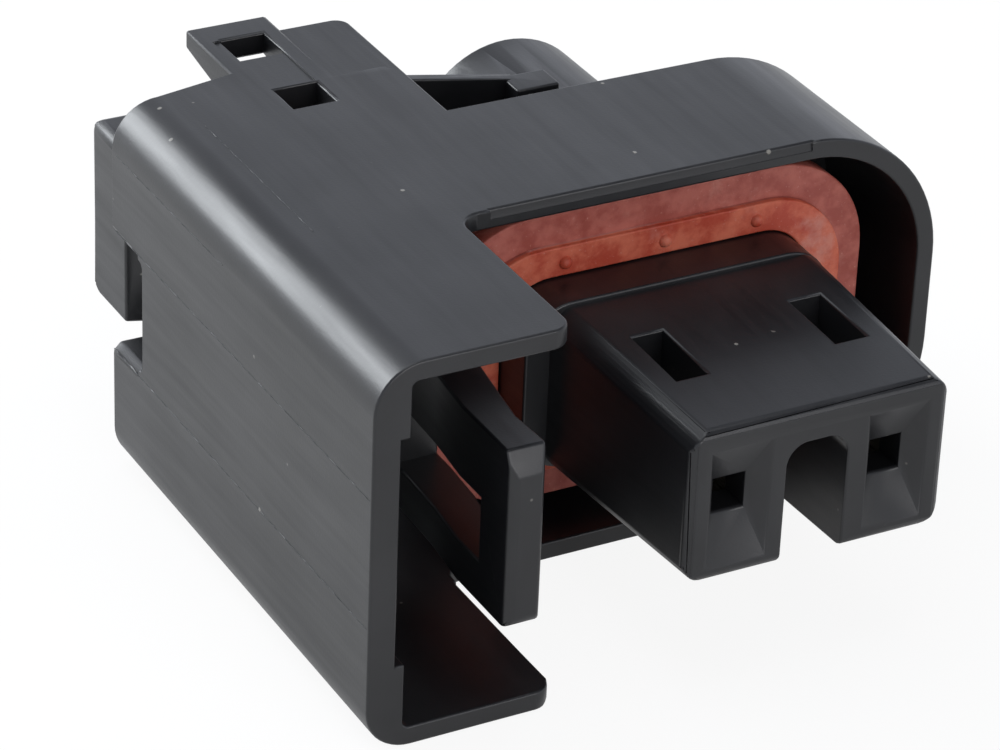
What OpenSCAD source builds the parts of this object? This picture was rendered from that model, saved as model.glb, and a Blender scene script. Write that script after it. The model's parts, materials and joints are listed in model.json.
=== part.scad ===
// Sealed two-way cable connector with a side lock lever, for an engine harness.
// Sizes are in millimetres. X crosses the body from the lock box, Y runs back from the
// mating face, Z is up. The body lies on its flat underside.

/* [Housing] */
// Free width beside the perimeter seal, where the mating collar's wall goes
collar_gap = 1.5; // [1.3:0.05:2]
// Height of the housing
body_h = 16; // [15.4:0.1:17.5]
// Thickness of the roof and floor plates
plate_t = 0.8; // [0.7:0.05:1]
// Thickness of the lock box's side wall
box_wall = 1.5; // [1.3:0.05:1.8]
// Width of the roof plate in front of the shroud
roof_w = 7.86; // [7.2:0.02:8.2]
// Width of the floor plate in front of the shroud
floor_w = 7.76; // [7.3:0.02:8.1]
// Width of the lock box behind the shroud
box_w = 11.47; // [11:0.01:11.7]
// Outer radius of the box's long top edge
top_r = 1.95; // [1.4:0.05:2.3]
// Outer radius of the box's long bottom edge
foot_r = 1.8; // [1.2:0.05:2.1]
// Distance from the front edge back to the shroud's front face
shroud_y0 = 9.05; // [8.6:0.05:9.6]
// Distance from the front edge back to the shroud's rear face
shroud_y1 = 17.1; // [16.9:0.05:17.6]
// Thickness of the shroud's side wall
shroud_wall = 0.8; // [0.7:0.05:1]
// Outer radius of the shroud's two long edges
shroud_r = 6.1; // [5.4:0.1:6.4]
// Thickness of the shroud's rear wall
rear_wall = 1.2; // [1:0.05:1.3]
// Distance from the front edge to the rear edge of the box's side wall
box_y1 = 22.75; // [22.4:0.05:23.2]
// Distance from the front edge to the rear tongue's end
tongue_y1 = 27.7; // [27:0.1:28.2]
// Width of the rear tongue
tongue_w = 3.5; // [3.3:0.05:3.7]
// Side of the two square holes in the roof
roof_hole = 1.85; // [1.5:0.05:2.1]
// Height of the thumb notch in the side wall
notch_h = 4.85; // [4.4:0.05:5.4]

/* [Terminal carrier] */
// Middle of the nose, measured from the lock box's outer face
nose_x = 17.75; // [17.5:0.05:17.9]
// Distance the nose stands out in front of the housing
nose_out = 1.3; // [1:0.1:2]
// Width of the nose at its front
nose_w = 11.1; // [10.9:0.1:11.5]
// Height of the nose at its front
nose_h = 6.4; // [6.2:0.1:6.5]
// Taper of each side of the nose over its length
nose_taper = 0.45; // [0.1:0.05:0.6]
// Distance between the two cavities
pitch = 6.75; // [6.65:0.05:6.8]
// Width of the slot between the two legs of the nose
slot_w = 2.6; // [2.2:0.1:2.8]
// Outer diameter of the wire towers at the rear
tower_d = 8.2; // [7.8:0.1:8.4]
// Distance from the front edge to the right tower's end
tower_y1 = 29.2; // [28.6:0.1:29.4]

/* [Seals] */
// Width of the perimeter seal over its ribs
seal_w = 19.1; // [18.7:0.1:19.3]
// Height of the perimeter seal over its ribs
seal_h = 12.4; // [12:0.1:13]
// Diameter of the bores that hold the cable seals
seal_bore_d = 5.6; // [5.2:0.1:5.8]
// Diameter of the wire hole through each cable seal
wire_d = 1.9; // [1.5:0.1:2.3]

/* [Lock lever] */
// Height of the lever
lever_h = 7.35; // [6.9:0.05:7.6]
// Thickness of the lever beside its bars
lever_t = 1.85; // [1.6:0.05:1.95]
// Thickness of the lever's head
head_t = 1.5; // [1.3:0.05:1.7]
// Distance from the front edge to the lever's rear end
lever_y1 = 29.5; // [29.4:0.1:30]
// Diameter of the lever's two torsion bars
bar_d = 1.3; // [1.1:0.05:1.5]

/* [Fits] */
// Radial clearance of the torsion bars and of the rubber fits
fit_gap = 0.04; // [0.03:0.01:0.08]
// Clearance of the carrier in the shroud's rear wall
wall_gap = 0.12; // [0.1:0.02:0.2]

/* [Hidden] */
$fn = 96;

mid_z = body_h / 2;
seat_x = nose_x - 0.3;
body_w = seat_x + seal_w / 2 + collar_gap + shroud_wall;
y_mid = (lever_y1 - nose_out) / 2;
nylon = [0.06, 0.065, 0.075];
rubber_red = [0.55, 0.2, 0.15];
tinned = [0.72, 0.71, 0.68];

// Lock box
thin_wall = box_wall - 0.38;
pocket_z0 = 3.55;
pocket_h = 9.4;
corner_r = 0.25;
tongue_x0 = 5.37;
tongue_x1 = tongue_x0 + tongue_w;
tongue_mid = (tongue_x0 + tongue_x1) / 2 + 0.1;
notch_y = box_y1 - 2.8;
roof_y1 = box_y1 + 0.7;
strip_drop = 0.2;
strip_x1 = box_w + 0.38;
strip_y0 = box_y1 - 1.15;
strip_y1 = tongue_y1 - 1;
tongue_t = 1.2;
notch_bevel = 0.45;
track_t = 0.08;

// Lever: the torsion bars stand at pivot_x, pivot_y, and its head, arm, tail and pad follow
pivot_x = 6.5;
pivot_y = 14.4;
head_x = 5.26;
head_y = -0.55;
arm_x = pivot_x - 0.9;
tail_x = 2.9;
pad_x = 2.05;
pad_y0 = lever_y1 - 3.3;
lever_z1 = mid_z + 3.6;
lever_z0 = lever_z1 - lever_h;
pad_z1 = lever_z1 + 0.34;
window_y0 = 1.75;
window_z0 = lever_z0 + 1.75;
boss_h = 1.6;
socket_z0 = plate_t + 0.4;
bar_r = bar_d / 2;

// Carrier: seat of the seal, flange and towers
core_y0 = 8.6;
core_w = 13.4;
core_h = 7.2;
core_r = 2;
nose_z = mid_z - 0.1;
nose_r = 1.1;
slot_x = nose_x - 0.1;
wall_y0 = shroud_y1 - rear_wall;
flange_t = 0.8;
flange_y0 = wall_y0 - flange_t;
cell_l = nose_x - pitch / 2;
cell_r = nose_x + pitch / 2;
tower_r = tower_d / 2;
tower_pitch = pitch - 0.25;
entry = 0.68;
left_tower_y1 = tower_y1 - 1.7;
shoulder_y = 20.5;
chamber_y0 = 0.9;
chamber_y1 = 9.5;
chamber_w = 2.6;
chamber_h = 3;
barrel_r = 2.2;
seal_bore_r = seal_bore_d / 2;

// Perimeter seal
ring_y0 = 10.5;
band_y0 = ring_y0 + 0.35;

// Cable seals and the crimps that hold them
neck_y0 = 13.6;
neck_r = 1.6;

// Extrudes a profile drawn in X and Z from y0 back to y1.
module along_y(y0, y1) {
  translate([0, y1, 0]) rotate([90, 0, 0]) linear_extrude(height = y1 - y0) children();
}

// Extrudes a profile drawn in Y and Z from x0 across to x1.
module along_x(x0, x1) {
  translate([x0, 0, 0]) rotate([90, 0, 90]) linear_extrude(height = x1 - x0) children();
}

// The waste outside a rounded corner; turn 0 is a lower left corner.
module corner_waste(x, y, r, turn) {
  translate([x, y]) rotate(turn) difference() {
    translate([-1, -1]) square(r + 1);
    translate([r, r]) circle(r);
  }
}

// A rectangle with its own radius at each corner, from the lower left round to the upper left.
module soft_rect(x0, y0, x1, y1, r) {
  difference() {
    translate([x0, y0]) square([x1 - x0, y1 - y0]);
    if (r[0] > 0) corner_waste(x0, y0, r[0], 0);
    if (r[1] > 0) corner_waste(x1, y0, r[1], 90);
    if (r[2] > 0) corner_waste(x1, y1, r[2], 180);
    if (r[3] > 0) corner_waste(x0, y1, r[3], 270);
  }
}

// A rounded rectangle about the middle of the seal's seat, w wide and h high.
module ring_rect(w, h, r) {
  soft_rect(seat_x - w / 2, mid_z - h / 2, seat_x + w / 2, mid_z + h / 2, [r, r, r, r]);
}

// Points of an arc, for the nose's softened front edges.
function arc(x, y, r, a0, a1) =
  [for (i = [0 : 5]) [x + r * cos(a0 + (a1 - a0) * i / 5), y + r * sin(a0 + (a1 - a0) * i / 5)]];

// Every piece is drawn from the lock box's corner and then centred on the origin.
module placed() {
  translate([-body_w / 2, -y_mid, 0]) children();
}

// Outer housing --------------------------------------------------------------

// C-shaped lock box in front of the shroud: side wall, roof plate and floor plate.
module box_front() {
  difference() {
    along_y(0, shroud_y0 + 0.5) soft_rect(0, 0, roof_w, body_h, [foot_r, 0, 0, top_r]);
    along_y(-1, shroud_y0 + 1)
      soft_rect(box_wall, plate_t, roof_w + 1, body_h - plate_t, [corner_r, 0, 0, corner_r]);
    translate([0, 0, -1]) linear_extrude(height = mid_z) front_corner(floor_w, 0.8);
    translate([0, 0, mid_z]) linear_extrude(height = body_h) front_corner(roof_w, 0.8);
    along_y(-1, shroud_y0 - 1) corner_waste(floor_w, 0, 0.45, 90);
  }
}

module front_corner(x, r) {
  corner_waste(x, 0, r, 90);
  translate([x, -1]) square([2, shroud_y0 + 1 - 1.2 * r]);
}

// Concave web where the roof plate runs into the shroud's front face.
module roof_web(x, z0, r) {
  translate([x, shroud_y0 - r, z0]) linear_extrude(height = plate_t) difference() {
    translate([-0.2, 0]) square([r + 0.2, r + 0.2]);
    translate([r, 0]) circle(r);
  }
}

// Collar round the seal, with a fine step along its upper front edge.
module shroud() {
  ri = shroud_r - shroud_wall;
  lip = 0.12;
  difference() {
    along_y(shroud_y0, shroud_y1)
      soft_rect(0, 0, body_w, body_h, [foot_r, shroud_r, shroud_r, top_r]);
    along_y(shroud_y0 - 1, wall_y0)
      soft_rect(box_wall, plate_t, body_w - shroud_wall, body_h - plate_t,
        [corner_r, ri, ri, corner_r]);
    along_y(wall_y0 - 1, shroud_y1 + 1)
      soft_rect(box_wall, plate_t, seat_x - 8.3, body_h - plate_t,
        [corner_r, corner_r, corner_r, corner_r]);
    along_y(wall_y0 - 1, shroud_y1 + 1)
      ring_rect(tower_pitch + tower_d + 2 * wall_gap, tower_d + 2 * wall_gap, tower_r);
    along_x(roof_w + 1.4, body_w - shroud_r) polygon([
      [shroud_y0 - 1, body_h - plate_t / 2], [shroud_y0 + lip / 2, body_h - plate_t / 2],
      [shroud_y0 + lip, body_h + 1], [shroud_y0 - 1, body_h + 1]]);
  }
}

// Rear of the lock box, open on its inner side for the lever, with the thumb notch.
module box_rear() {
  difference() {
    union() {
      along_y(shroud_y1 - 0.5, box_y1) difference() {
        soft_rect(0, 0, box_w, body_h, [foot_r, 0, 0, top_r]);
        soft_rect(box_wall, plate_t, box_w + 1, body_h - plate_t, [corner_r, 0, 0, corner_r]);
      }
      // rear edge of the roof, which runs slightly back towards the tongue
      translate([0, 0, body_h - plate_t]) linear_extrude(height = plate_t)
        polygon([[top_r, box_y1 - 1], [tongue_x1, box_y1 - 1], [tongue_x1, roof_y1],
          [tongue_x0, roof_y1], [top_r, box_y1]]);
    }
    along_x(-1, box_wall + 0.2)
      soft_rect(notch_y, mid_z - notch_h / 2, box_y1 + 2, mid_z + notch_h / 2, [0.3, 0, 0, 0.3]);
    // bevels along the notch's two long edges
    for (s = [-1, 1])
      translate([0, notch_y + 0.3, mid_z + s * notch_h / 2]) rotate([0, 45, 0])
        translate([-notch_bevel / 2, 0, -notch_bevel / 2]) cube([notch_bevel, 5, notch_bevel]);
    along_x(-1, box_w + 1) corner_waste(box_y1, 0, 1.1, 90);
    translate([tongue_x1 + 0.05, strip_y0, body_h - plate_t - 1]) cube([5, 5, plate_t + 2]);
    translate([0, 0, mid_z]) linear_extrude(height = body_h) corner_waste(box_w, strip_y0, 0.5, 180);
  }
}

// Tongue, thinner towards its end.
module tongue() {
  along_x(tongue_x0, tongue_x1) polygon([
    [box_y1 - 3, body_h], [tongue_y1, body_h], [tongue_y1, body_h - 0.75],
    [tongue_y1 - 1.4, body_h - 1], [tongue_y1 - 2.6, body_h - tongue_t],
    [box_y1 - 3, body_h - tongue_t]]);
}

// Lower strip that runs back beside the tongue, under the edge of the roof.
module strip() {
  difference() {
    translate([tongue_x1 - 0.5, shroud_y1 - 0.5, body_h - strip_drop - plate_t])
      cube([strip_x1 - tongue_x1 + 0.5, strip_y1 - shroud_y1 + 0.5, plate_t]);
    translate([0, 0, mid_z]) linear_extrude(height = body_h) corner_waste(strip_x1, strip_y1, 0.6, 180);
  }
}

// Sockets above and below that carry the ends of the lever's torsion bars.
module bar_bosses() {
  for (z = [plate_t - 0.1, body_h - plate_t - boss_h])
    translate([pivot_x, pivot_y, z]) cylinder(r = bar_r + 0.8, h = boss_h + 0.1);
}

module bar_sockets() {
  translate([pivot_x, pivot_y, socket_z0]) cylinder(r = bar_r + fit_gap, h = 3);
  translate([pivot_x, pivot_y, body_h - socket_z0 - 3]) cylinder(r = bar_r + fit_gap, h = 3);
}

module outer_housing() {
  color(nylon) placed() difference() {
    union() {
      box_front();
      roof_web(roof_w, body_h - plate_t, 0.9);
      roof_web(floor_w, 0, 0.9);
      shroud();
      box_rear();
      tongue();
      strip();
      bar_bosses();
    }
    bar_sockets();
    translate([thin_wall, -1, pocket_z0]) cube([1, 11, pocket_h]);
    for (y = [tongue_y1 - 2.28, tongue_y1 - 7.14])
      translate([tongue_mid - roof_hole / 2, y - roof_hole / 2, body_h - tongue_t - 1])
        cube([roof_hole, roof_hole, tongue_t + 2]);
    // shallow track between the two holes
    translate([tongue_mid - roof_hole / 2 - 0.4, tongue_y1 - 6.15, body_h - track_t])
      cube([roof_hole + 0.4, 4.75, 1]);
  }
}

// Lock lever -----------------------------------------------------------------

// Plan of the lever: bevelled head, arm over the bars and cranked tail.
module lever_plan() {
  t = lever_t;
  head_x1 = head_x + head_t;
  polygon([
    [head_x + 0.28, head_y], [head_x1 - 0.2, head_y], [head_x1 + 0.1, head_y + 0.5], [head_x1, 2],
    [head_x1 + 0.2, 3.5], [arm_x + t - 0.15, 5.8], [arm_x + t, 8], [arm_x + t, pivot_y + 3.1],
    [tail_x + t + 0.4, 23], [tail_x + t, lever_y1 - 3.3], [tail_x + t, lever_y1 - 0.4],
    [tail_x + t - 0.4, lever_y1], [tail_x, lever_y1], [tail_x, pad_y0], [tail_x + 0.4, 22.4],
    [arm_x, pivot_y + 2.6], [arm_x, 8], [head_x + 0.25, 5.8], [head_x, 3.4], [head_x, head_y + 0.28]]);
}

// Thumb pad at the lever's tail, seen from above.
module pad_plan() {
  polygon([[pad_x, pad_y0], [tail_x + 0.5, pad_y0 - 0.5], [tail_x + lever_t, pad_y0],
    [tail_x + lever_t, lever_y1 - 0.4], [tail_x + lever_t - 0.4, lever_y1],
    [pad_x + 0.2, lever_y1], [pad_x, lever_y1 - 0.2]]);
}

module lock_lever() {
  color(nylon) placed() {
    difference() {
      union() {
        translate([0, 0, lever_z0]) linear_extrude(height = lever_h) lever_plan();
        translate([0, 0, lever_z0]) linear_extrude(height = pad_z1 - lever_z0) pad_plan();
      }
      // bevelled top and rounded lower edges of the head
      along_x(head_x - 1, head_x + 4) polygon([[head_y - 1, lever_z1 - 1], [head_y, lever_z1 - 1],
        [head_y + 0.5, lever_z1], [head_y + 0.5, lever_z1 + 1], [head_y - 1, lever_z1 + 1]]);
      along_x(head_x - 1, head_x + 4) corner_waste(head_y, lever_z0, 0.5, 0);
      along_y(head_y - 1, 3) corner_waste(head_x + head_t + 0.1, lever_z0, 0.5, 90);
      // window that catches the mating part's tooth
      translate([head_x - 1, window_y0, window_z0]) cube([4, 7.4, 2.65]);
      // ends of the thumb pad
      along_x(0, 8) corner_waste(lever_y1, lever_z0, 0.7, 90);
      along_x(0, 8) corner_waste(lever_y1, pad_z1, 0.35, 180);
      along_y(pad_y0 - 1, lever_y1 + 1) corner_waste(pad_x, pad_z1, 0.5, 270);
    }
    // torsion bars
    translate([pivot_x, pivot_y, socket_z0]) cylinder(r = bar_r, h = body_h - 2 * socket_z0 - 0.05);
  }
}

// Terminal carrier -----------------------------------------------------------

// Tapered nose with softened edges, made from its plan, its side view and its rounded corners.
module nose() {
  hw = nose_w / 2;
  hh = nose_h / 2;
  r = 0.4;
  k = nose_taper;
  difference() {
    intersection() {
      linear_extrude(height = body_h) polygon(concat(
        arc(nose_x - hw + r, r - nose_out, r, 180, 270),
        arc(nose_x + hw - r, r - nose_out, r, 270, 360),
        [[nose_x + hw + k, core_y0 + 1], [nose_x - hw - k, core_y0 + 1]]));
      along_x(nose_x - 10, nose_x + 10) polygon(concat(
        arc(r - nose_out, nose_z - hh + r, r, 270, 180),
        arc(r - nose_out, nose_z + hh - r, r, 180, 90),
        [[core_y0 + 1, nose_z + hh + k * 0.8], [core_y0 + 1, nose_z - hh - k * 0.8]]));
    }
    for (s = [-1, 1], u = [-1, 1]) nose_corner(s, u);
  }
}

// Waste along one of the nose's four long corners, turned to follow the taper.
module nose_corner(s, u) {
  run = core_y0 + 1 + nose_out;
  translate([nose_x + s * nose_w / 2, -nose_out, nose_z + u * nose_h / 2])
    rotate([u * atan(0.8 * nose_taper / run), 0, -s * atan(nose_taper / run)])
      mirror([s > 0 ? 1 : 0, 0, 0]) mirror([0, 0, u > 0 ? 1 : 0])
        translate([-0.02, 0, -0.02]) along_y(-2, run + 3) corner_waste(0, 0, nose_r, 0);
}

// Funnel mouth and entry hole of one cavity.
module cavity_mouth(x) {
  m = 1.3;
  e = entry;
  up = mid_z + 2.25;
  down = mid_z - 2.8;
  hole_z = mid_z - 0.2;
  y = -nose_out;
  intersection() {
    linear_extrude(height = body_h) polygon([[x - m - 0.4, y - 0.5], [x + m + 0.4, y - 0.5],
      [x + m, y], [x + e, y + 0.85], [x - e, y + 0.85], [x - m, y]]);
    along_x(x - 3, x + 3) polygon([[y - 0.5, up + 0.2], [y, up], [y + 0.85, hole_z + e + 0.02],
      [y + 0.85, hole_z - e - 0.02], [y, down], [y - 0.5, down - 0.2]]);
  }
  translate([x - e, y + 0.8, hole_z - e - 0.02]) cube([2 * e, 4, 2 * e + 0.04]);
}

module cavity(x, y1) {
  cavity_mouth(x);
  translate([x - chamber_w / 2, chamber_y0, mid_z - chamber_h / 2])
    cube([chamber_w, chamber_y1 - chamber_y0 + 0.5, chamber_h]);
  along_y(chamber_y1, y1 + 1) translate([x, mid_z]) circle(barrel_r);
  along_y(shoulder_y, y1 + 1) translate([x, mid_z]) circle(seal_bore_r);
  translate([x, y1 - 0.4, mid_z]) rotate([-90, 0, 0])
    cylinder(r1 = seal_bore_r, r2 = seal_bore_r + 0.5, h = 0.5);
}

// Open slot between the two legs, with an arched roof.
module leg_slot() {
  along_y(-nose_out - 1, core_y0 - 0.4)
    soft_rect(slot_x - slot_w / 2, -1, slot_x + slot_w / 2, mid_z + 1.7, [0, 0, 0.9, 0.9]);
}

module terminal_carrier() {
  color(nylon) placed() difference() {
    union() {
      nose();
      along_y(core_y0, wall_y0) ring_rect(core_w, core_h, core_r);
      along_y(flange_y0, wall_y0) ring_rect(seal_w - 0.9, seal_h - 0.8, 4);
      along_y(wall_y0 - 0.1, shoulder_y + 1.5)
        ring_rect(tower_pitch + tower_d, tower_d, tower_r - 0.02);
      along_y(shroud_y1, left_tower_y1)
        translate([seat_x - tower_pitch / 2, mid_z]) circle(tower_r);
      along_y(shroud_y1, tower_y1)
        translate([seat_x + tower_pitch / 2, mid_z]) circle(tower_r);
      // cross rib over the towers and the tooth at its end
      along_y(23.9, 24.5) polygon([[12, mid_z + 1], [18.4, mid_z + 1], [18.4, body_h - 2.97],
        [17.85, body_h - 2.87], [12, body_h - 1.8]]);
      translate([17.9, 22.85, mid_z + 2]) cube([1.95, 1.45, body_h - 2.95 - mid_z - 2]);
    }
    cavity(cell_l, left_tower_y1);
    cavity(cell_r, tower_y1);
    leg_slot();
    // inspection windows over the terminals
    for (s = [-1, 1])
      translate([nose_x + s * 3.45 - 0.7, 2.4, mid_z]) cube([1.4, 3.4, 6]);
  }
}

// Perimeter seal -------------------------------------------------------------

module perimeter_seal() {
  color(rubber_red) placed() {
    difference() {
      union() {
        along_y(ring_y0, band_y0 + 0.5) ring_rect(seal_w - 2.3, seal_h - 2.6, 3.4);
        along_y(band_y0, flange_y0) ring_rect(seal_w - 0.7, seal_h - 0.7, 4);
        along_y(band_y0, band_y0 + 1.1) ring_rect(seal_w, seal_h, 4.3);
        along_y(band_y0 + 2.1, band_y0 + 2.9) ring_rect(seal_w - 0.3, seal_h - 0.3, 4.2);
      }
      along_y(ring_y0 - 1, flange_y0 + 1)
        ring_rect(core_w + 2 * fit_gap, core_h + 2 * fit_gap, core_r + fit_gap);
    }
    // moulding pips on the rim
    for (x = [-4.06, 0.3, 4.4])
      translate([seat_x + x, ring_y0 + 0.05, mid_z + 4.2]) sphere(r = 0.28, $fn = 24);
  }
}

// Terminals and cable seals --------------------------------------------------

// Stamped receptacle terminal: contact box, spring tongue, wire crimp and seal crimp.
module terminal(x) {
  z0 = mid_z - chamber_h / 2;
  y0 = chamber_y0;
  crimp_z = mid_z - neck_r - fit_gap - 0.21;
  color(tinned) placed() {
    difference() {
      translate([x - 1.1, y0, z0]) cube([2.2, 7.4, 2.5]);
      translate([x - 0.85, y0 - 1, z0 + 0.25]) cube([1.7, 10, 2]);
      translate([x - 0.3, y0 + 3.2, z0 + 2]) cube([0.6, 2.6, 1]);
    }
    // spring tongue inside the box
    along_x(x - 0.6, x + 0.6) polygon([[y0 + 0.4, z0 + 2.3], [y0 + 1.2, z0 + 2.3], [y0 + 3.2, z0 + 1.65],
      [y0 + 5, z0 + 2.3], [y0 + 5.6, z0 + 2.3], [y0 + 3.2, z0 + 1.45]]);
    // floor strip that joins the crimps
    translate([x - 0.7, y0 + 7, z0]) cube([1.4, 5.2, 0.25]);
    for (s = [-1, 1])
      translate([x + s * 0.975 - 0.125, y0 + 7.2, z0]) cube([0.25, 1.2, 1.3]);
    translate([x - 1.1, y0 + 7.2, z0]) cube([2.2, 1.2, 0.25]);
    // wire crimp
    along_y(y0 + 9.2, y0 + 12.2) translate([x, z0 + 1.2]) difference() {
      circle(1.2);
      circle(0.95);
      translate([-0.5, 0]) square([1, 2]);
    }
    // seal crimp round the neck of the cable seal, and the step down to it
    along_y(neck_y0 + 0.7, neck_y0 + 2.9) difference() {
      translate([x, mid_z]) circle(neck_r + fit_gap + 0.21);
      translate([x, mid_z]) circle(neck_r + fit_gap);
      translate([x - 0.6, mid_z]) square([1.2, 3]);
    }
    along_x(x - 0.7, x + 0.7) polygon([
      [neck_y0 - 1.6, z0], [neck_y0 - 1.6, z0 + 0.25], [neck_y0 - 0.3, crimp_z + 0.2],
      [neck_y0 + 1.4, crimp_z + 0.2], [neck_y0 + 1.4, crimp_z], [neck_y0 - 0.3, crimp_z]]);
  }
}

module terminal_left() { terminal(cell_l); }
module terminal_right() { terminal(cell_r); }

// Ribbed silicone plug round the wire, with a neck that the terminal grips.
module cable_seal(x) {
  color(rubber_red) placed() translate([x, 0, mid_z]) rotate([-90, 0, 0]) difference() {
    union() {
      translate([0, 0, neck_y0]) cylinder(r = neck_r, h = shoulder_y - neck_y0 + 1);
      translate([0, 0, shoulder_y]) cylinder(r = seal_bore_r - 0.35, h = 6);
      for (y = [0, 2.5, 5])
        translate([0, 0, shoulder_y + y]) cylinder(r = seal_bore_r - fit_gap, h = 1);
    }
    translate([0, 0, neck_y0 - 1]) cylinder(r = wire_d / 2, h = 20);
  }
}

module cable_seal_left() { cable_seal(cell_l); }
module cable_seal_right() { cable_seal(cell_r); }

outer_housing();
lock_lever();
terminal_carrier();
perimeter_seal();
terminal_left();
terminal_right();
cable_seal_left();
cable_seal_right();
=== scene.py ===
import json
import math
import bmesh
import bpy
from mathutils import Matrix, Vector


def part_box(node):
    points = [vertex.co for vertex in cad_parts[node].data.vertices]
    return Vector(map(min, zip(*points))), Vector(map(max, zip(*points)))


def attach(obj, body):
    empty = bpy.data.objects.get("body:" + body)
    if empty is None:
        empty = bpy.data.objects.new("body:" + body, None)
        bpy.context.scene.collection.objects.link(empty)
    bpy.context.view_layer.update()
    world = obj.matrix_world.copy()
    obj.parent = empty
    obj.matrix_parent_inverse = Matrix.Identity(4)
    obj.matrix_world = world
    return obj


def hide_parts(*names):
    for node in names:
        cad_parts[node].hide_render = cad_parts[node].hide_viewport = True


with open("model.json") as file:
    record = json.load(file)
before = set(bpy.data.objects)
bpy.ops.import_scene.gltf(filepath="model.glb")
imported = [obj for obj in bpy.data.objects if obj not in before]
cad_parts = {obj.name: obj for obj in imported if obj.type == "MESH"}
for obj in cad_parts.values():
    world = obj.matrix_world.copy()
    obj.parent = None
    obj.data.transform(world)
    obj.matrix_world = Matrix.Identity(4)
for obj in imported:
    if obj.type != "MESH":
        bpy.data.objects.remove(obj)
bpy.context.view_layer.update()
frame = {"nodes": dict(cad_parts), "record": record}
scene = bpy.context.scene
nodes = frame["nodes"]
bodyOf = {node: body for body, members in frame["record"]["behaviour"]["bodies"].items() for node in members}
print("frame loaded:", len(nodes), "nodes")

mm = 0.001
shroudCorner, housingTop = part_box("outer_housing")     # lowest and highest corner of the housing
sideX, frontY, topZ = shroudCorner.x, shroudCorner.y, housingTop.z


def place(x, y, z):
    # x from the lock box's side, y back from the housing's front edge, z up from the roof, in mm
    return Vector((sideX + x * mm, frontY + y * mm, topZ + z * mm))


# ---- material helpers

def newMaterial(name):
    mat = bpy.data.materials.new(name)
    mat.use_nodes = True
    mat.node_tree.nodes.clear()
    return mat


class Graph:
    # adds shader nodes to one material and links them
    def __init__(self, mat):
        self.tree = mat.node_tree

    def add(self, kind, inputs=None, **settings):
        node = self.tree.nodes.new(kind)
        for key, value in settings.items():
            setattr(node, key, value)
        for key, value in (inputs or {}).items():
            self.put(node.inputs[key], value)
        return node

    def put(self, socket, value):
        if hasattr(value, "is_output"):
            self.tree.links.new(value, socket)
        else:
            socket.default_value = value

    def math(self, operation, a, b=0.0, clamp=False):
        node = self.add("ShaderNodeMath", operation=operation, use_clamp=clamp)
        for socket, value in zip(node.inputs, (a, b)):
            self.put(socket, value)
        return node.outputs[0]

    def between(self, value, low, high, toLow=0.0, toHigh=1.0):
        # a soft step from low to high
        node = self.add("ShaderNodeMapRange", {"Value": value, "From Min": low, "From Max": high,
                        "To Min": toLow, "To Max": toHigh}, interpolation_type="SMOOTHSTEP")
        return node.outputs[0]

    def noise(self, where, scale, detail=2.0, roughness=0.5, stretch=None):
        if stretch:
            where = self.add("ShaderNodeMapping", {"Vector": where, "Scale": stretch}).outputs[0]
        return self.add("ShaderNodeTexNoise", {"Vector": where, "Scale": scale, "Detail": detail, "Roughness": roughness}).outputs["Fac"]

    def blend(self, fac, a, b):
        node = self.add("ShaderNodeMix", data_type="RGBA")
        self.put(node.inputs["Factor"], fac)
        self.put(node.inputs[6], a)
        self.put(node.inputs[7], b)
        return node.outputs[2]


def grey(v, a=1.0):
    return (v, v, v, a)


# ---- glass-filled nylon, black, with flow streaks, fine grain and dust

nylonLook = {
    "color": (0.0075, 0.0078, 0.0092), "paler": (0.014, 0.0142, 0.016),
    "rough": (0.30, 0.42), "streak": 0.35, "grain": 0.5, "dust": (0.22, 0.21, 0.19),
}


def nylonMaterial(name, look):
    mat = newMaterial(name)
    g = Graph(mat)
    where = g.add("ShaderNodeTexCoord").outputs["Object"]
    streaks = g.noise(where, 1.0, 4.0, 0.6, (2600, 140, 2600))
    wide = g.noise(where, 1.0, 3.0, 0.55, (420, 60, 420))
    grain = g.noise(where, 9500.0, 2.0, 0.6)
    cloud = g.noise(where, 210.0, 3.0)
    speck = g.add("ShaderNodeTexVoronoi", {"Vector": where, "Scale": 620.0, "Randomness": 1.0}, feature="F1")
    chance = g.noise(where, 900.0, 1.0)
    isSpeck = g.math("MULTIPLY", g.between(speck.outputs["Distance"], 0.075, 0.04), g.between(chance, 0.56, 0.6))
    base = g.blend(g.between(cloud, 0.35, 0.7), (*look["color"], 1), (*look["paler"], 1))
    color = g.blend(isSpeck, base, (*look["dust"], 1))
    rough = g.add("ShaderNodeMapRange", {"Value": g.math("ADD", g.math("MULTIPLY", streaks, 0.5), g.math("MULTIPLY", wide, 0.5)),
                  "From Min": 0.35, "From Max": 0.65, "To Min": look["rough"][0], "To Max": look["rough"][1]}).outputs[0]
    height = g.math("ADD", g.math("MULTIPLY", streaks, look["streak"]), g.math("MULTIPLY", grain, look["grain"]))
    height = g.math("ADD", height, g.math("MULTIPLY", isSpeck, 1.5))
    bump = g.add("ShaderNodeBump", {"Height": height, "Strength": 1.0, "Distance": 0.000006})
    shader = g.add("ShaderNodeBsdfPrincipled", {"Base Color": color, "Roughness": rough, "Normal": bump.outputs[0]})
    shader.inputs["Specular IOR Level"].default_value = 0.5
    g.add("ShaderNodeOutputMaterial", {"Surface": shader.outputs[0]})
    return mat


# ---- red-brown silicone with a dusty skin, its front rim painted brighter as painted light

# the rim colours paint the seal's front rim brighter and more orange than the rest: painted light where the light
# falls
siliconeLook = {"deep": (0.33, 0.068, 0.05), "pale": (0.47, 0.135, 0.105), "bloom": (0.60, 0.30, 0.25),
                "paintedLightRimDeep": (0.44, 0.055, 0.026), "paintedLightRimPale": (0.62, 0.15, 0.085), "rough": (0.5, 0.68), "rimY": frontY + 10.72 * mm}


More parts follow.
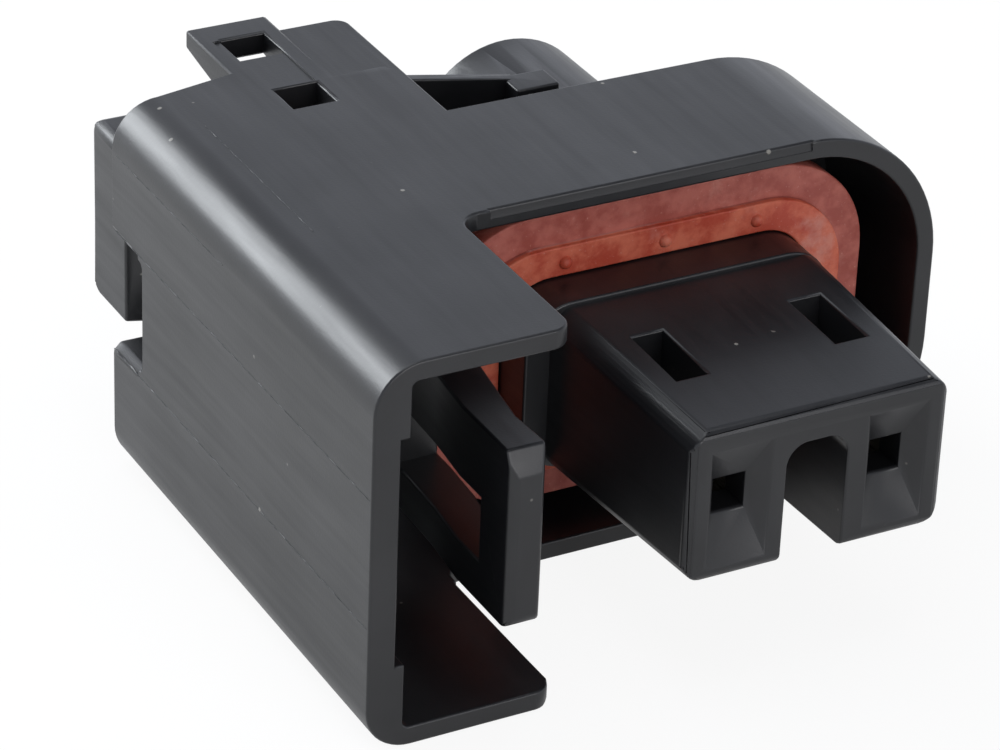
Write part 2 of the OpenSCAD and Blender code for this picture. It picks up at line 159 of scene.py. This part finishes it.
def siliconeMaterial(name, look):
    mat = newMaterial(name)
    g = Graph(mat)
    where = g.add("ShaderNodeTexCoord").outputs["Object"]
    cloud = g.noise(where, 900.0, 4.0, 0.6)
    patch = g.noise(where, 330.0, 5.0, 0.65)
    grain = g.noise(where, 7000.0, 3.0, 0.7)
    skin = g.between(cloud, 0.35, 0.65)
    backY = g.add("ShaderNodeSeparateXYZ", {"Vector": where}).outputs["Y"]
    # ahead of rimY the seal takes the brighter rim colours: painted light on the front rim
    paintedLightRim = g.between(backY, look["rimY"] + 0.00004, look["rimY"] - 0.00004)
    color = g.blend(paintedLightRim, g.blend(skin, (*look["deep"], 1), (*look["pale"], 1)), g.blend(skin, (*look["paintedLightRimDeep"], 1), (*look["paintedLightRimPale"], 1)))
    color = g.blend(g.math("MULTIPLY", g.between(patch, 0.56, 0.72), 0.55), color, (*look["bloom"], 1))
    color = g.blend(g.math("MULTIPLY", g.between(grain, 0.62, 0.75), 0.6), color, (*look["bloom"], 1))
    rough = g.add("ShaderNodeMapRange", {"Value": cloud, "From Min": 0.3, "From Max": 0.7,
                  "To Min": look["rough"][0], "To Max": look["rough"][1]}).outputs[0]
    height = g.math("ADD", g.math("MULTIPLY", grain, 0.6), g.math("MULTIPLY", cloud, 0.8))
    bump = g.add("ShaderNodeBump", {"Height": height, "Strength": 1.0, "Distance": 0.00003})
    shader = g.add("ShaderNodeBsdfPrincipled", {"Base Color": color, "Roughness": rough, "Normal": bump.outputs[0]})
    shader.inputs["Specular IOR Level"].default_value = 0.45
    shader.inputs["Subsurface Weight"].default_value = 0.12
    shader.inputs["Subsurface Scale"].default_value = 0.0006
    shader.inputs["Subsurface Radius"].default_value = (1.0, 0.3, 0.2)
    g.add("ShaderNodeOutputMaterial", {"Surface": shader.outputs[0]})
    return mat


tinLook = {"dark": (0.42, 0.41, 0.38), "light": (0.62, 0.6, 0.56), "rough": (0.24, 0.4)}


def tinMaterial(name, look):
    mat = newMaterial(name)
    g = Graph(mat)
    where = g.add("ShaderNodeTexCoord").outputs["Object"]
    brushed = g.noise(where, 1.0, 4.0, 0.6, (4000, 260, 4000))
    spots = g.noise(where, 1400.0, 3.0)
    color = g.blend(spots, (*look["dark"], 1), (*look["light"], 1))
    rough = g.add("ShaderNodeMapRange", {"Value": brushed, "From Min": 0.3, "From Max": 0.7,
                  "To Min": look["rough"][0], "To Max": look["rough"][1]}).outputs[0]
    bump = g.add("ShaderNodeBump", {"Height": brushed, "Strength": 0.6, "Distance": 0.000006})
    shader = g.add("ShaderNodeBsdfPrincipled", {"Base Color": color, "Roughness": rough, "Normal": bump.outputs[0]})
    shader.inputs["Metallic"].default_value = 1.0
    g.add("ShaderNodeOutputMaterial", {"Surface": shader.outputs[0]})
    return mat


housingNylon = nylonMaterial("housingNylon", nylonLook)
sealSilicone = siliconeMaterial("sealSilicone", siliconeLook)
terminalTin = tinMaterial("terminalTin", tinLook)
print("materials made")


# ---- modelling helpers

def deselectAll():
    for obj in bpy.context.selected_objects:
        obj.select_set(False)


def editing(piece):
    deselectAll()
    piece.select_set(True)
    bpy.context.view_layer.objects.active = piece
    bpy.ops.object.mode_set(mode="EDIT")


def doneEditing():
    bpy.ops.object.mode_set(mode="OBJECT")


def applyModifier(piece, name):
    deselectAll()
    piece.select_set(True)
    bpy.context.view_layer.objects.active = piece
    bpy.ops.object.modifier_apply(modifier=name)


def mergedCopy(nodeName, pieceName):
    # the node's shape as one joined skin, in mm while it is worked on
    piece = nodes[nodeName].copy()
    piece.data = nodes[nodeName].data.copy()
    piece.name = pieceName
    for key in list(piece.keys()):
        del piece[key]
    scene.collection.objects.link(piece)
    piece.parent = None
    piece.data.transform(Matrix.Scale(1 / mm, 4))
    editing(piece)
    bpy.ops.mesh.select_all(action="SELECT")
    bpy.ops.mesh.remove_doubles(threshold=0.002)
    bpy.ops.mesh.dissolve_limited(angle_limit=math.radians(0.6))
    doneEditing()
    return piece


def softenEdges(piece, width, segments, angle):
    # only outer corners with room on both sides are rounded, so thin steps keep their shape
    bm = bmesh.new()
    bm.from_mesh(piece.data)
    weight = bm.edges.layers.float.new("bevel_weight_edge")
    for edge in bm.edges:
        if len(edge.link_faces) != 2 or not edge.is_convex:
            continue
        room = min(face.calc_area() / edge.calc_length() for face in edge.link_faces)
        if edge.calc_face_angle() > math.radians(angle) and room > 2.6 * width:
            edge[weight] = 1.0
    bm.to_mesh(piece.data)
    bm.free()
    bevel = piece.modifiers.new("softEdges", "BEVEL")
    bevel.width = width
    bevel.segments = segments
    bevel.limit_method = "WEIGHT"
    bevel.use_clamp_overlap = False
    applyModifier(piece, "softEdges")


def finishPiece(piece, material, nodeName):
    # back to metres, smoothed, and in the node's place
    piece.data.transform(Matrix.Scale(mm, 4))
    deselectAll()
    piece.select_set(True)
    bpy.context.view_layer.objects.active = piece
    bpy.ops.object.shade_smooth_by_angle(angle=math.radians(36))
    flat = piece.modifiers.new("flatFaces", "WEIGHTED_NORMAL")
    flat.keep_sharp = True
    flat.weight = 90
    applyModifier(piece, "flatFaces")
    piece.data.materials.clear()
    piece.data.materials.append(material)
    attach(piece, bodyOf[nodeName])
    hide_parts(nodeName)
    return piece


# ---- the moulded pieces

softness = {
    "outer_housing": {"piece": "housingShell", "width": 0.11, "segments": 2, "angle": 32},
    "lock_lever": {"piece": "leverBody", "width": 0.10, "segments": 2, "angle": 25},
    "terminal_carrier": {"piece": "carrierBody", "width": 0.10, "segments": 2, "angle": 32},
    "perimeter_seal": {"piece": "sealRing", "width": 0.08, "segments": 2, "angle": 40},
}
finishOf = {
    "outer_housing": housingNylon, "lock_lever": housingNylon, "terminal_carrier": housingNylon,
    "perimeter_seal": sealSilicone, "cable_seal_left": sealSilicone, "cable_seal_right": sealSilicone,
    "terminal_left": terminalTin, "terminal_right": terminalTin,
}
for name, node in nodes.items():
    node.data.materials.clear()
    node.data.materials.append(finishOf[name])
for name, soft in softness.items():
    piece = mergedCopy(name, soft["piece"])
    softenEdges(piece, soft["width"], soft["segments"], soft["angle"])
    finishPiece(piece, finishOf[name], name)
print("moulded pieces softened")


# ---- fine parting lines left by the mould, as raised threads

partingLines = {
    "width": 0.07, "height": 0.05, "steps": 90, "wander": 0.012,
    "runs": [   # start and end of each line: x, y, z in mm from the lock box's upper front edge
        ((0, 0.2, -5.3), (0, 22.4, -5.3), "x"), ((0, 0.2, -10.65), (0, 22.6, -10.65), "x"),
        ((0, 12.5, -1.98), (0, 22.3, -1.98), "x"), ((2.55, 10.2, 0), (2.55, 19.6, 0), "z"),
    ],
}


def addPartingLines(look):
    made = []
    for number, (start, end, facing) in enumerate(look["runs"]):
        length = end[1] - start[1]
        deselectAll()
        bpy.ops.mesh.primitive_cube_add(size=1, location=(0, 0, 0))
        line = bpy.context.object
        line.name = "partingLine" + str(number)
        line.scale = (look["width"], length, look["height"])
        bpy.ops.object.transform_apply(location=False, rotation=False, scale=True)
        bm = bmesh.new()
        bm.from_mesh(line.data)
        along = [e for e in bm.edges if abs(e.verts[0].co.y - e.verts[1].co.y) > 0.5 * length]
        bmesh.ops.subdivide_edges(bm, edges=along, cuts=look["steps"], use_grid_fill=True)
        for v in bm.verts:
            sway = math.sin(v.co.y * 2.1 + number) * math.sin(v.co.y * 5.3 + 2 * number)
            chip = 0.5 + 0.5 * math.sin(v.co.y * 9.7 + number) * math.sin(v.co.y * 3.9)
            v.co.x = v.co.x * (0.5 + 0.5 * chip) + sway * look["wander"]
            if v.co.z > 0:
                v.co.z *= 0.25 + 0.75 * chip
                v.co.x *= 0.35
        if facing == "x":
            bm.transform(Matrix.Rotation(math.radians(-90), 4, "Y"))
        bm.transform(Matrix.Translation(((start[0] + end[0]) / 2, (start[1] + end[1]) / 2, start[2])))
        bm.transform(Matrix.Scale(mm, 4))
        bm.transform(Matrix.Translation(place(0, 0, 0)))
        bmesh.ops.recalc_face_normals(bm, faces=bm.faces)
        bm.to_mesh(line.data)
        bm.free()
        line.data.materials.append(housingNylon)
        made.append(line)
    deselectAll()
    for line in made:
        line.select_set(True)
    bpy.context.view_layer.objects.active = made[0]
    bpy.ops.object.join()
    lines = bpy.context.object
    lines.name = "partingLines"
    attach(lines, bodyOf["outer_housing"])


addPartingLines(partingLines)
print("parting lines added")


# ---- floor, light and camera

def addFloor():
    bpy.ops.mesh.primitive_plane_add(size=2, location=(0, 0, 0))
    floor = bpy.context.object
    floor.name = "floor"
    mat = newMaterial("paleFloor")
    g = Graph(mat)
    diffuse = g.add("ShaderNodeBsdfDiffuse", {"Color": grey(0.8)}).outputs[0]
    glow = g.add("ShaderNodeEmission", {"Color": grey(1.0), "Strength": 1.02}).outputs[0]
    path = g.add("ShaderNodeLightPath")
    share = g.math("ADD", 0.42, g.math("MULTIPLY", path.outputs["Is Camera Ray"], 0.46))
    both = g.add("ShaderNodeMixShader", {"Fac": share, 1: diffuse, 2: glow}).outputs[0]
    seen = g.math("MAXIMUM", path.outputs["Is Camera Ray"], path.outputs["Is Glossy Ray"])
    mixed = g.add("ShaderNodeMixShader", {"Fac": seen, 1: diffuse, 2: both}).outputs[0]
    g.add("ShaderNodeOutputMaterial", {"Surface": mixed})
    floor.data.materials.append(mat)


roomLook = {"horizon": (0.92, 0.96, 1.06), "above": (0.16, 0.17, 0.2), "fill": (0.9, 0.93, 1.0)}


def addWorld(look):
    world = bpy.data.worlds.new("studio")
    scene.world = world
    world.use_nodes = True
    world.node_tree.nodes.clear()
    g = Graph(world)
    toward = g.add("ShaderNodeTexCoord").outputs["Generated"]
    up = g.add("ShaderNodeSeparateXYZ", {"Vector": toward}).outputs["Z"]
    dome = g.blend(g.between(up, 0.50, 0.66), (*look["horizon"], 1), (*look["above"], 1))
    shine = g.add("ShaderNodeBackground", {"Color": dome, "Strength": 1.0}).outputs[0]
    fill = g.add("ShaderNodeBackground", {"Color": (*look["fill"], 1), "Strength": 0.4}).outputs[0]
    white = g.add("ShaderNodeBackground", {"Color": grey(1.0), "Strength": 1.0}).outputs[0]
    path = g.add("ShaderNodeLightPath")
    lit = g.add("ShaderNodeMixShader", {"Fac": path.outputs["Is Glossy Ray"], 1: fill, 2: shine}).outputs[0]
    mixed = g.add("ShaderNodeMixShader", {"Fac": path.outputs["Is Camera Ray"], 1: lit, 2: white}).outputs[0]
    g.add("ShaderNodeOutputWorld", {"Surface": mixed})


def addLamp(name, toward, distance, size, watts, color):
    lamp = bpy.data.lights.new(name, "AREA")
    lamp.shape = "RECTANGLE"
    lamp.size, lamp.size_y = size
    lamp.energy = watts
    lamp.color = color
    holder = bpy.data.objects.new(name, lamp)
    scene.collection.objects.link(holder)
    holder.location = Vector((0, 0, 0.008)) + Vector(toward).normalized() * distance
    holder.rotation_euler = (-Vector(toward)).to_track_quat("-Z", "Y").to_euler()
    holder.visible_camera = False


def addCamera():
    data = bpy.data.cameras.new("camera")
    data.lens = 155.518
    data.sensor_width = 36
    data.clip_start = 0.01
    camera = bpy.data.objects.new("camera", data)
    scene.collection.objects.link(camera)
    camera.location = (-0.073667, -0.128857, 0.089243)
    camera.rotation_euler = [math.radians(a) for a in (60.41382, -2.08374, -27.93267)]
    scene.camera = camera


addFloor()
addWorld(roomLook)
addLamp("backLeftWindow", (-0.50, 0.76, 0.40), 0.30, (0.17, 0.15), 0.8, (0.93, 0.97, 1.0))
addLamp("overhead", (-0.1, 0.15, 1.0), 0.35, (0.3, 0.3), 0.55, (0.93, 0.96, 1.0))
addLamp("frontFill", (0.10, -0.80, 0.35), 0.40, (0.25, 0.2), 0.5, (1.0, 0.97, 0.95))
addCamera()
scene.view_settings.view_transform = "Standard"
print("studio set")
